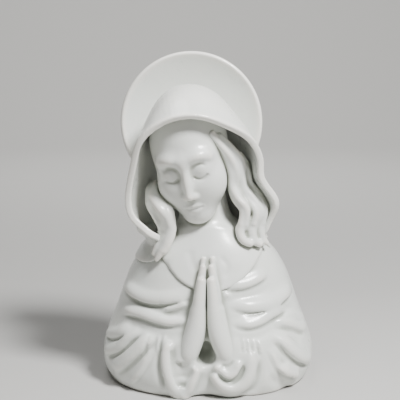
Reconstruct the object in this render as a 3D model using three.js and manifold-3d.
// Praying Madonna bust in white glazed ceramic, built from the castings that a potter lutes
// together with slip: body, two sleeves, two hands, breast and neck, head, two falls of hair,
// veil and halo. Millimetres, +Z up, the figure faces -Y, and the origin is on the table under
// the middle of the figure.
import * as THREE from "three";
import { mergeVertices } from "three/addons/utils/BufferGeometryUtils.js";
import Module from "manifold-3d";

const wasm = await Module();
wasm.setup();

// ---------------------------------------------------------------- driving dimensions
const WALL = 5; // thickness of the cast ceramic
const JOINT_GAP = 0.3; // slip joint between two castings

const BODY_WIDTH = 141; // over the elbows
const BODY_DEPTH = 92; // front of the sleeves to the back of the mantle
const BODY_HEIGHT = 102; // table to the top of the shoulders
const FOOT_RING = 11; // width of the flat ring that the body stands on
const FOOT_THICK = 5; // thickness of that ring

const BREAST_SET_BACK = 2; // how far the breast lies behind the mantle's surface
const NECKLINE_WIDTH = 66; // the mantle's scooped neck opening
const NECKLINE_DEPTH = 33; // its lowest point under the top of the shoulders

const SLEEVE_HEIGHT = 46; // top of the forearm sleeves
const SLEEVE_THICK = 15; // how far they stand out from the body's front wall
const SLEEVE_SPAN = 121; // over both sleeves
const SLEEVE_SHOULDER = 26; // how far their upper outer corners are rounded
const SLEEVE_NOTCH = 3.2; // gap between the two sleeves at the front

const NECK_RADIUS = 18.5;
const NECK_FLARE = 0.14; // the foot of the neck is this much wider
const NECK_LEAN = new THREE.Vector3(-8, -5, 0); // top of the neck from its foot
const NECK_FOOT = new THREE.Vector3(3, 1, -7); // foot of the neck from the top of the body

const HEAD_HEIGHT = 76; // chin to crown
const HEAD_WIDTH = 53;
const HEAD_DEPTH = 62;
const HEAD_RISE = 48; // centre of the head above the top of the body
const HEAD_SHIFT = new THREE.Vector3(-11, -6, 0); // centre of the head from the body's axis
const HEAD_BOW = 24; // degrees that the face looks down
const HEAD_TURN = -12; // degrees that it turns to its own right
const HEAD_TILT = -11; // degrees that it leans to its own right

const HALO_RADIUS = 47;
const HALO_DISH = 9; // depth of the dish
const HALO_WALL = 4;
const HALO_BEHIND = 35; // middle of the dish's back, behind the centre of the head
const HALO_RISE = 17.5; // centre of the dish above the centre of the head
const HALO_LEAN = -3; // degrees that the dish leans back

const VEIL_THICK = 4;

const HAND_LENGTH = 66; // wrist to fingertip
const HAND_FOOT = 23; // wrist above the table
const HAND_SPREAD = 12.5; // each wrist from the middle
const FINGER_RADIUS = 3.3;
const PALM_RADIUS = 5.6;
const HAND_LEAN = 5; // the fingertips lie this much further back than the wrists

const HAIR_RADIUS = 6.2; // radius of one fall of hair

const RING_SIDES = 40; // points round the body and the foot of the neck
const ROUND_SIDES = 12; // sides of the fingers and the hair
const NECK_STEPS = 5; // rings up the neck

const glaze = (hex, roughness) => new THREE.MeshStandardMaterial({ color: hex, roughness, metalness: 0 });

// ---------------------------------------------------------------- closed solids and booleans

// A closed three.js geometry as a manifold-3d solid.
function solidOf(geometry, matrix) {
  const bare = (geometry.index ? geometry.toNonIndexed() : geometry.clone()).applyMatrix4(
    matrix ?? new THREE.Matrix4(),
  );
  bare.deleteAttribute("normal");
  bare.deleteAttribute("uv");
  const merged = mergeVertices(bare, 1e-3);
  return new wasm.Manifold(
    new wasm.Mesh({
      numProp: 3,
      vertProperties: new Float32Array(merged.attributes.position.array),
      triVerts: new Uint32Array(merged.index.array),
    }),
  );
}

const unite = (...solids) => solids.reduce((a, b) => a.add(b));

const cut = (solid, ...tools) => tools.reduce((a, b) => a.subtract(b), solid);

// A casting without the crumbs that a cut can leave beside it.
function trimmed(solid) {
  return solid.decompose().reduce((a, b) => (a.volume() > b.volume() ? a : b));
}

function castingMesh(name, solid, material) {
  const made = trimmed(solid).getMesh();
  const stride = made.numProp;
  const positions = new Float32Array(made.numVert * 3);
  for (let i = 0; i < made.numVert; i++) {
    positions.set(made.vertProperties.subarray(i * stride, i * stride + 3), i * 3);
  }
  const geometry = new THREE.BufferGeometry();
  geometry.setAttribute("position", new THREE.BufferAttribute(positions, 3));
  geometry.setIndex(new THREE.BufferAttribute(made.triVerts, 1));
  const mesh = new THREE.Mesh(geometry, material);
  mesh.name = name;
  return mesh;
}

// A closed skin through rings of equal point counts, with a fan at the foot and one at the top
// unless the last ring is folded flat.
function loftGeometry(rings, flatTop = false) {
  const sides = rings[0].length;
  const points = rings.flat();
  const middle = (ring) =>
    ring.reduce((sum, p) => sum.add(p), new THREE.Vector3()).divideScalar(ring.length);
  const foot = points.push(middle(rings[0])) - 1;
  const top = points.push(middle(rings[rings.length - 1])) - 1;
  const index = [];
  for (let k = 0; k < sides; k++) {
    const next = (k + 1) % sides;
    for (let r = 0; r + 1 < rings.length; r++) {
      const a = r * sides;
      const b = a + sides;
      index.push(a + k, a + next, b + next, a + k, b + next, b + k);
    }
    index.push(foot, next, k);
    const last = (rings.length - 1) * sides;
    if (!flatTop) index.push(top, last + k, last + next);
  }
  const geometry = new THREE.BufferGeometry().setFromPoints(points);
  geometry.setIndex(index);
  return geometry;
}

// A smooth chain of round beads: each bead is a centre and a radius.
function chain(beads, sides = ROUND_SIDES) {
  const spine = new THREE.CatmullRomCurve3(beads.map((b) => b.at));
  const steps = (beads.length - 1) * 3;
  const radius = (t) => {
    const s = t * (beads.length - 1);
    const i = Math.min(Math.floor(s), beads.length - 2);
    return THREE.MathUtils.lerp(beads[i].radius, beads[i + 1].radius, s - i);
  };
  const frames = spine.computeFrenetFrames(steps, false);
  const rings = [];
  const addRing = (centre, i, r) => {
    const ring = [];
    for (let k = 0; k < sides; k++) {
      const angle = (k / sides) * 2 * Math.PI;
      ring.push(
        centre
          .clone()
          .addScaledVector(frames.normals[i], r * Math.cos(angle))
          .addScaledVector(frames.binormals[i], r * Math.sin(angle)),
      );
    }
    rings.push(ring);
  };
  const capEnd = (i, t, sign) => {
    for (const lift of sign < 0 ? [0.95, 0.6] : [0.6, 0.95]) {
      const r = radius(t);
      const centre = spine.getPoint(t).addScaledVector(frames.tangents[i], sign * r * lift);
      addRing(centre, i, r * Math.sqrt(1 - lift * lift));
    }
  };
  capEnd(0, 0, -1);
  for (let i = 0; i <= steps; i++) addRing(spine.getPoint(i / steps), i, radius(i / steps));
  capEnd(steps, 1, 1);
  return solidOf(loftGeometry(rings));
}

// An egg: centre, half sizes, and how much it is grown all round.
function egg(centre, half, grow = 0) {
  const matrix = new THREE.Matrix4().compose(
    centre,
    new THREE.Quaternion(),
    new THREE.Vector3(half.x + grow, half.y + grow, half.z + grow),
  );
  return solidOf(new THREE.SphereGeometry(1, 20, 14), matrix);
}

// ---------------------------------------------------------------- body

// Plan sections of the draped body, as shares of its half width, half depth and height.
// round is the exponent of the outline: 2 is an ellipse, more is squarer.
const BODY_SECTIONS = [
  { z: 0.0, wide: 0.93, front: 0.95, back: 0.94 },
  { z: 0.07, wide: 0.985, front: 1.0, back: 1.0 },
  { z: 0.2, wide: 1.0, front: 0.985, back: 1.0 },
  { z: 0.34, wide: 0.94, front: 0.9, back: 0.96 },
  { z: 0.48, wide: 0.855, front: 0.78, back: 0.91 },
  { z: 0.62, wide: 0.785, front: 0.69, back: 0.83 },
  { z: 0.75, wide: 0.71, front: 0.6, back: 0.74 },
  { z: 0.86, wide: 0.6, front: 0.49, back: 0.65 },
  { z: 0.94, wide: 0.46, front: 0.39, back: 0.56 },
  { z: 1.0, wide: 0.32, front: 0.3, back: 0.44 },
];
const BODY_ROUNDNESS = 2.25;
const BODY_WIDEST = 0.3; // share of the half depth that the widest line lies behind the middle

// The body's outline at one section, grown all round, with its front pulled back by setBack.
function bodyRing(section, grow, setBack) {
  const wide = (section.wide * BODY_WIDTH) / 2 + grow;
  const widestY = (BODY_WIDEST * BODY_DEPTH * section.back) / 2;
  const front = (section.front * BODY_DEPTH) / 2 + grow - setBack + widestY;
  const back = (section.back * BODY_DEPTH) / 2 + grow - widestY;
  const ring = [];
  for (let k = 0; k < RING_SIDES; k++) {
    const angle = (k / RING_SIDES) * 2 * Math.PI;
    const c = Math.cos(angle);
    const s = Math.sin(angle);
    const spread = Math.abs(c) ** BODY_ROUNDNESS + Math.abs(s) ** BODY_ROUNDNESS;
    const reach = spread ** (-1 / BODY_ROUNDNESS);
    const depth = s < 0 ? front : back;
    ring.push(new THREE.Vector3(wide * c * reach, widestY + depth * s * reach, 0));
  }
  return ring;
}

function bodyForm(grow, { setBack = 0, from = 0, to = BODY_HEIGHT } = {}) {
  const sections = BODY_SECTIONS.map((s) => ({ ...s, height: s.z * BODY_HEIGHT }));
  const rings = sections.map((s, i) => {
    const atFoot = i === 0 ? from : s.height;
    const height = i === sections.length - 1 ? to : atFoot;
    return bodyRing(s, grow, setBack).map((p) => p.setZ(height));
  });
  return solidOf(loftGeometry(rings));
}

const NECKLINE_SIDE = 0.72; // where the scoop's curve starts, of its half width
const NECKLINE_FULLNESS = 0.86; // how square the scoop's foot is, of its half width
const CUTTER_CLEARANCE = 20; // how far a cutting block stands past the body
const NECKLINE_STEPS = 8;
const SLEEVE_STEPS = 6;

// A U-shaped block that runs through the body's front, for the scooped neck opening.
function necklineBlock(grow) {
  const half = NECKLINE_WIDTH / 2 + grow;
  const low = BODY_HEIGHT - NECKLINE_DEPTH - grow;
  const side = low + half * NECKLINE_SIDE;
  const above = BODY_HEIGHT + CUTTER_CLEARANCE;
  const outline = new THREE.Shape();
  outline.moveTo(-half, above);
  outline.lineTo(-half, side);
  outline.quadraticCurveTo(-half * NECKLINE_FULLNESS, low, 0, low);
  outline.quadraticCurveTo(half * NECKLINE_FULLNESS, low, half, side);
  outline.lineTo(half, above);
  outline.closePath();
  const block = new THREE.ExtrudeGeometry(outline, {
    depth: BODY_DEPTH / 2,
    bevelEnabled: false,
    curveSegments: NECKLINE_STEPS,
  });
  const place = new THREE.Matrix4().makeRotationX(Math.PI / 2).setPosition(0, grow, 0);
  return solidOf(block, place);
}

// The block that the forearm sleeves fill, in front of the body's front wall.
function sleeveBlock(grow, lower = 0) {
  const wall = -BODY_DEPTH / 2 + SLEEVE_THICK + grow;
  const half = SLEEVE_SPAN / 2 + grow;
  const top = SLEEVE_HEIGHT + grow - lower;
  const outline = new THREE.Shape();
  outline.moveTo(-half, -SLEEVE_HEIGHT);
  outline.lineTo(-half, top - SLEEVE_SHOULDER);
  outline.quadraticCurveTo(-half, top, -half + SLEEVE_SHOULDER, top);
  outline.lineTo(half - SLEEVE_SHOULDER, top);
  outline.quadraticCurveTo(half, top, half, top - SLEEVE_SHOULDER);
  outline.lineTo(half, -SLEEVE_HEIGHT);
  outline.closePath();
  const block = new THREE.ExtrudeGeometry(outline, {
    depth: BODY_DEPTH,
    bevelEnabled: false,
    curveSegments: SLEEVE_STEPS,
  });
  return solidOf(block, new THREE.Matrix4().makeRotationX(Math.PI / 2).setPosition(0, wall, 0));
}

// Everything on one side of the notch between the sleeves.
function besideNotch(side) {
  const block = new THREE.BoxGeometry(BODY_WIDTH, BODY_DEPTH * 2, BODY_HEIGHT * 2);
  const shift = (side * (BODY_WIDTH + SLEEVE_NOTCH)) / 2;
  return solidOf(block, new THREE.Matrix4().makeTranslation(shift, 0, 0));
}

// The hollow that the slip is drained from, with walls behind the sleeves and the breast.
function castingHollow() {
  const inside = bodyForm(-WALL, { from: FOOT_THICK, to: BODY_HEIGHT - WALL });
  return cut(inside, sleeveBlock(WALL));
}

// The drain opening inside the foot ring.
function drainOpening() {
  const rings = [-1, FOOT_THICK + 1].map((height) =>
    bodyRing(BODY_SECTIONS[0], -FOOT_RING, SLEEVE_THICK).map((p) => p.setZ(height)),
  );
  return solidOf(loftGeometry(rings));
}

// ---------------------------------------------------------------- neck, head, hair

const headCentre = new THREE.Vector3(0, 0, BODY_HEIGHT + HEAD_RISE).add(HEAD_SHIFT);
const headTurn = new THREE.Matrix4()
  .makeRotationY(THREE.MathUtils.degToRad(HEAD_TILT))
  .multiply(new THREE.Matrix4().makeRotationZ(THREE.MathUtils.degToRad(HEAD_TURN)))
  .multiply(new THREE.Matrix4().makeRotationX(THREE.MathUtils.degToRad(HEAD_BOW)));
const headPlace = new THREE.Matrix4().makeTranslation(headCentre).multiply(headTurn);

// A point given in the head's own frame, as shares of its half width, half depth and half height.
function inHead(x, y, z) {
  return new THREE.Vector3((x * HEAD_WIDTH) / 2, (y * HEAD_DEPTH) / 2, (z * HEAD_HEIGHT) / 2);
}

function headForm(grow) {
  const cranium = egg(inHead(0, 0.1, 0.24), inHead(0.96, 0.82, 0.74), grow);
  const face = egg(inHead(0, -0.26, -0.28), inHead(0.8, 0.7, 0.71), grow);
  const nose = egg(inHead(0, -0.9, -0.2), inHead(0.13, 0.17, 0.24), grow);
  const turned = unite(cranium, face, nose);
  return turned.transform(headPlace.elements);
}

const neckFoot = new THREE.Vector3(0, 0, BODY_HEIGHT).add(NECK_FOOT);
const neckTop = new THREE.Vector3(neckFoot.x, neckFoot.y, headCentre.z)
  .add(new THREE.Vector3(0, 0, -HEAD_HEIGHT / 4))
  .add(NECK_LEAN);

// The neck as a leaning column, grown all round; past lengthens it at both ends.
function neckForm(grow, past = 0) {
  const spine = neckTop.clone().sub(neckFoot).normalize();
  const foot = neckFoot.clone().addScaledVector(spine, -past);
  const top = neckTop.clone().addScaledVector(spine, past);
  const rings = [];
  for (let i = 0; i <= NECK_STEPS; i++) {
    const share = i / NECK_STEPS;
    const centre = foot.clone().lerp(top, share);
    const radius = NECK_RADIUS * (1 + NECK_FLARE * (1 - share) ** 3) + grow;
    rings.push(circle(centre, radius, 2 * ROUND_SIDES));
  }
  return solidOf(loftGeometry(rings));
}

// A level ring of points.
function circle(centre, radius, sides) {
  const ring = [];
  for (let k = 0; k < sides; k++) {
    const angle = (k / sides) * 2 * Math.PI;
    ring.push(new THREE.Vector3(radius * Math.cos(angle), radius * Math.sin(angle), 0).add(centre));
  }
  return ring;
}

// A wavy fall of hair beside the face: shares of the head's half sizes from its centre, and the
// share of the fall's radius.
const HAIR_FALLS = {
  hair_left: [
    [-0.98, -0.13, 0.37, 0.6],
    [-0.98, -0.32, -0.21, 0.95],
    [-0.83, -0.45, -0.63, 1.1],
    [-0.64, -0.52, -1.0, 1.15],
    [-0.57, -0.52, -1.29, 1],
    [-0.75, -0.45, -1.53, 0.7],
  ],
  hair_right: [
    [0.72, -0.19, 0.26, 0.7],
    [1.06, -0.29, -0.16, 1],
    [1.09, -0.29, -0.55, 1.05],
    [1.36, -0.26, -0.82, 1.15],
    [1.4, -0.19, -1.13, 1.1],
    [1.58, -0.13, -1.39, 0.7],
  ],
};

function hairForm(side, grow = 0) {
  return chain(
    HAIR_FALLS[side].map(([x, y, z, share]) => ({
      at: inHead(x, y, z).add(headCentre),
      radius: HAIR_RADIUS * share + grow,
    })),
  );
}

// ---------------------------------------------------------------- veil

// The veil as a folded sheet. Each station runs from the front hem round to the seam line down
// the back: hem, turn, side and back. Stations go from the end of the fall at the viewer's left,
// up over the brow and down to the end at the other side. They are shares of the head's half
// sizes from its centre.
const VEIL_STATIONS = [
  {
    hem: [-0.94, -0.48, -1.79], turn: [-1.4, -0.16, -1.74],
    side: [-1.13, 0.65, -1.74], back: [0.42, 1.16, -1.79],
  },
  {
    hem: [-0.79, -0.55, -1.5], turn: [-1.36, -0.16, -1.47],
    side: [-1.09, 0.58, -1.47], back: [0.38, 1.1, -1.5],
  },
  {
    hem: [-1.02, -0.55, -1.24], turn: [-1.32, -0.13, -1.21],
    side: [-1.06, 0.58, -1.21], back: [0.34, 1.06, -1.21],
  },
  {
    hem: [-1.43, -0.45, -1.0], turn: [-1.4, -0.1, -0.97],
    side: [-1.06, 0.55, -0.95], back: [0.26, 1.03, -0.95],
  },
  {
    hem: [-1.51, -0.45, -0.63], turn: [-1.4, -0.1, -0.61],
    side: [-1.06, 0.55, -0.58], back: [0.19, 1.03, -0.68],
  },
  {
    hem: [-1.36, -0.61, -0.11], turn: [-1.28, -0.19, -0.08],
    side: [-1.06, 0.52, -0.11], back: [0.11, 1.03, -0.37],
  },
  {
    hem: [-1.17, -0.84, 0.34], turn: [-1.13, -0.35, 0.45],
    side: [-0.97, 0.55, 0.45], back: [0.02, 1.04, 0.05],
  },
  {
    hem: [-0.53, -1.13, 0.63], turn: [-0.6, -0.58, 0.93],
    side: [-0.6, 0.44, 0.95], back: [-0.04, 1.0, 0.32],
  },
  {
    hem: [0.19, -1.16, 0.68], turn: [0.08, -0.58, 1.05],
    side: [0.04, 0.38, 1.06], back: [-0.04, 0.96, 0.56],
  },
  {
    hem: [0.87, -0.9, 0.5], turn: [0.75, -0.42, 0.78],
    side: [0.6, 0.44, 0.9], back: [-0.04, 1.0, 0.32],
  },
  {
    hem: [1.4, -0.58, 0.32], turn: [1.28, -0.16, 0.47],
    side: [0.97, 0.55, 0.47], back: [0.02, 1.04, 0.05],
  },
  {
    hem: [1.66, -0.42, -0.03], turn: [1.51, 0.0, 0.03],
    side: [1.17, 0.55, -0.05], back: [0.11, 1.03, -0.37],
  },
  {
    hem: [1.74, -0.39, -0.37], turn: [1.55, 0.03, -0.34],
    side: [1.25, 0.58, -0.47], back: [0.19, 1.03, -0.68],
  },
  {
    hem: [2.0, -0.29, -0.76], turn: [1.77, 0.1, -0.76],
    side: [1.4, 0.61, -0.82], back: [0.26, 1.03, -0.95],
  },
  {
    hem: [1.92, -0.16, -1.08], turn: [1.74, 0.16, -1.11],
    side: [1.47, 0.65, -1.13], back: [0.34, 1.06, -1.21],
  },
  {
    hem: [1.77, -0.13, -1.37], turn: [1.77, 0.19, -1.39],
    side: [1.58, 0.71, -1.42], back: [0.38, 1.1, -1.5],
  },
  {
    hem: [1.81, -0.1, -1.58], turn: [1.89, 0.26, -1.63],
    side: [1.66, 0.77, -1.71], back: [0.42, 1.16, -1.79],
  },
];
const VEIL_STEPS = 6; // quads from hem to seam

// Rows of points on the veil's outer face, one row a station, moved in by depth.
function veilRows(depth) {
  const rows = VEIL_STATIONS.map(({ hem, turn, side, back }) => {
    const guides = [hem, turn, side, back].map((share) => inHead(...share).add(headCentre));
    return new THREE.CatmullRomCurve3(guides, false, "centripetal").getPoints(VEIL_STEPS);
  });
  return rows.map((row, i) =>
    row.map((p, j) => p.clone().addScaledVector(inwardAt(rows, i, j), depth)),
  );
}

// The direction into the sheet at one of its points. At the seam both halves share their
// points, so it is level and forward there.
function inwardAt(rows, i, j) {
  const row = rows[i];
  if (j === row.length - 1) return new THREE.Vector3(0, -1, 0);
  const along = row[j + 1].clone().sub(row[Math.max(j - 1, 0)]);
  const across = rows[Math.min(i + 1, rows.length - 1)][j].clone().sub(rows[Math.max(i - 1, 0)][j]);
  return along.cross(across).normalize();
}

function veilForm(grow) {
  const outer = veilRows(-grow);
  const inner = veilRows(VEIL_THICK + grow);
  const columns = VEIL_STEPS + 1;
  const points = [...outer.flat(), ...inner.flat()];
  const layer = outer.length * columns;
  const index = [];
  const quad = (a, b, c, d) => index.push(a, c, b, a, d, c);
  const at = (i, j, inside) => i * columns + j + (inside ? layer : 0);
  const last = outer.length - 1;
  for (let i = 0; i < last; i++) {
    for (let j = 0; j < VEIL_STEPS; j++) {
      quad(at(i, j, 0), at(i, j + 1, 0), at(i + 1, j + 1, 0), at(i + 1, j, 0));
      quad(at(i, j, 1), at(i + 1, j, 1), at(i + 1, j + 1, 1), at(i, j + 1, 1));
    }
    quad(at(i, 0, 0), at(i + 1, 0, 0), at(i + 1, 0, 1), at(i, 0, 1));
  }
  for (let j = 0; j < VEIL_STEPS; j++) {
    quad(at(0, j, 0), at(0, j, 1), at(0, j + 1, 1), at(0, j + 1, 0));
    quad(at(last, j, 0), at(last, j + 1, 0), at(last, j + 1, 1), at(last, j, 1));
  }
  const geometry = new THREE.BufferGeometry().setFromPoints(points);
  geometry.setIndex(index);
  return solidOf(geometry);
}

// The veil with everything inside it: rings that close across the face.
function veilFilled(grow) {
  const rows = veilRows(-grow);
  const half = (rows.length - 1) / 2;
  const rings = [];
  for (let i = 0; i <= half; i++) {
    const back = rows[rows.length - 1 - i].slice(0, -1).reverse();
    rings.push([...rows[i], ...back].reverse());
  }
  return solidOf(loftGeometry(rings, true));
}

// ---------------------------------------------------------------- halo

const HALO_FLAT = 0.62; // how far the flat middle of the dish's back reaches, of the radius
const HALO_FRONT_FLAT = 0.6; // the same for its front
const HALO_FRONT_SWELL = 1; // the front's middle thickens by this much on its way to the rim
const HALO_LIP_SWEEP = Math.PI * 0.8; // how far the lip's round runs before the front starts
const HALO_STEPS = 5; // points along each part of the profile
const HALO_SIDES = 36;

function haloForm() {
  const lip = HALO_WALL / 2;
  const rim = HALO_RADIUS - lip;
  const profile = new THREE.Path();
  profile.moveTo(0, 0);
  profile.quadraticCurveTo(HALO_RADIUS * HALO_FLAT, 0, rim, HALO_DISH);
  profile.absarc(rim, HALO_DISH + lip, lip, -Math.PI / 2, HALO_LIP_SWEEP);
  const frontFlat = HALO_RADIUS * HALO_FRONT_FLAT;
  profile.quadraticCurveTo(frontFlat, HALO_WALL + HALO_FRONT_SWELL, 0, HALO_WALL);
  const points = profile.getPoints(HALO_STEPS).map((p) => new THREE.Vector2(Math.max(p.x, 0), p.y));
  points[points.length - 1].x = 0;
  const dish = new THREE.LatheGeometry(points, HALO_SIDES);
  const centre = headCentre.clone().add(new THREE.Vector3(0, HALO_BEHIND, HALO_RISE));
  const place = new THREE.Matrix4()
    .makeTranslation(centre)
    .multiply(new THREE.Matrix4().makeRotationX(THREE.MathUtils.degToRad(HALO_LEAN)))
    .multiply(new THREE.Matrix4().makeRotationZ(Math.PI));
  return solidOf(dish, place);
}

// ---------------------------------------------------------------- hands

// Fingers from the little finger, nearest the viewer, to the forefinger: how far back each lies
// at its root, and its length as a share of the hand.
const FINGERS = [
  { back: 0, reach: 0.84 },
  { back: 5, reach: 0.95 },
  { back: 10, reach: 1 },
  { back: 15, reach: 0.94 },
];
const PALM_SHARE = 0.5; // wrist to knuckles, of the whole hand
const FINGER_TIP = 0.04; // the round end of a finger, of the whole hand
const FINGER_TAPER = 0.16; // how much thinner each joint is than the last
const HAND_FRONT = 3.5; // front of the little finger behind the front of the sleeves
const HAND_CURVE = 1.4; // how late the wrists start to part below the knuckles
const FINGER_ROOT = 0.8; // where a finger starts inside the palm, of the palm
const FINGER_JOINT = 0.15; // knuckle to middle joint, of the whole hand
const FINGER_CLOSING = 0.3; // how much nearer each other the fingers are at the tips
const PALM_BACKS = [2, 8, 13]; // how far back each ridge of the palm lies
const PALM_STOPS = [0.02, 0.25]; // wrist and mid palm, of the whole hand
const HAND_SIDES = 8; // round a finger

function handForm(side, grow = 0) {
  const fingerY = -BODY_DEPTH / 2 + HAND_FRONT + FINGER_RADIUS;
  const between = FINGER_RADIUS + JOINT_GAP / 2; // each finger's axis from the middle
  const at = (share, back) => {
    const parted = Math.max(0, 1 - share / PALM_SHARE) ** HAND_CURVE;
    const x = side * (between + (HAND_SPREAD - between) * parted);
    const y = fingerY + back + HAND_LEAN * share;
    return new THREE.Vector3(x, y, HAND_FOOT + HAND_LENGTH * share);
  };
  const fingers = FINGERS.map(({ back, reach }) =>
    chain(
      [PALM_SHARE * FINGER_ROOT, PALM_SHARE + FINGER_JOINT, reach - FINGER_TIP].map((share, i) => ({
        at: at(share, back * (1 - FINGER_CLOSING * share)),
        radius: FINGER_RADIUS * (1 - FINGER_TAPER * i) + grow,
      })),
      HAND_SIDES,
    ),
  );
  const fuller = side * (PALM_RADIUS - FINGER_RADIUS);
  const palm = PALM_BACKS.map((back) =>
    chain(
      [...PALM_STOPS, PALM_SHARE].map((share, i) => ({
        at: at(share, back).add(new THREE.Vector3(fuller * (1 - i / 2), 0, 0)),
        radius: THREE.MathUtils.lerp(PALM_RADIUS, FINGER_RADIUS, i / 2) + grow,
      })),
      HAND_SIDES,
    ),
  );
  return unite(...palm, ...fingers);
}

// ---------------------------------------------------------------- castings

const bothHands = (grow) => unite(handForm(-1, grow), handForm(1, grow));
const bothFalls = (grow) => unite(hairForm("hair_left", grow), hairForm("hair_right", grow));
const neckBore = neckForm(-WALL, WALL);

// The breast behind the scooped neckline and the neck that rises from it, as one casting.
function neckAndChest() {
  const skin = cut(
    bodyForm(-BREAST_SET_BACK),
    bodyForm(-BREAST_SET_BACK - WALL, { to: BODY_HEIGHT - WALL }),
  ).intersect(necklineBlock(-JOINT_GAP));
  return cut(unite(skin, neckForm(0)), neckBore, headForm(JOINT_GAP));
}

function robeBody() {
  return cut(
    bodyForm(0),
    castingHollow(),
    drainOpening(),
    sleeveBlock(JOINT_GAP),
    necklineBlock(0),
    neckForm(JOINT_GAP, JOINT_GAP),
  );
}

// Both forearm sleeves as an open-backed shell, with room for the hands.
function sleeves() {
  const hollow = bodyForm(-WALL, { from: WALL }).intersect(sleeveBlock(1, WALL + 1));
  return cut(bodyForm(0).intersect(sleeveBlock(0)), hollow, bothHands(JOINT_GAP));
}

const bodyKeepOut = bodyForm(JOINT_GAP, { from: -1, to: BODY_HEIGHT + JOINT_GAP });
const bodyBehindSleeves = cut(bodyKeepOut, sleeveBlock(0));
const neckKeepOut = neckForm(JOINT_GAP);

const satinWhite = glaze(0xe9e9e4, 0.38);

const hand = (side) => cut(handForm(side), bodyBehindSleeves);
const hair = (side) => cut(hairForm(side), headForm(JOINT_GAP), neckKeepOut, bodyKeepOut);
const veil = cut(veilForm(0), headForm(JOINT_GAP), neckKeepOut, bodyKeepOut, bothFalls(JOINT_GAP));

const madonna = new THREE.Group();
madonna.name = "madonna_bust";
madonna.add(
  castingMesh("robe_body", robeBody(), satinWhite),
  castingMesh("sleeve_left", sleeves().intersect(besideNotch(-1)), satinWhite),
  castingMesh("sleeve_right", sleeves().intersect(besideNotch(1)), satinWhite),
  castingMesh("hand_left", hand(-1), satinWhite),
  castingMesh("hand_right", hand(1), satinWhite),
  castingMesh("neck_and_chest", neckAndChest(), satinWhite),
  castingMesh("head", cut(headForm(0), headForm(-WALL), neckBore), satinWhite),
  castingMesh("hair_left", hair("hair_left"), satinWhite),
  castingMesh("hair_right", hair("hair_right"), satinWhite),
  castingMesh("veil", veil, satinWhite),
  castingMesh("halo", cut(haloForm(), veilForm(JOINT_GAP), veilFilled(JOINT_GAP)), satinWhite),
);

export default madonna;
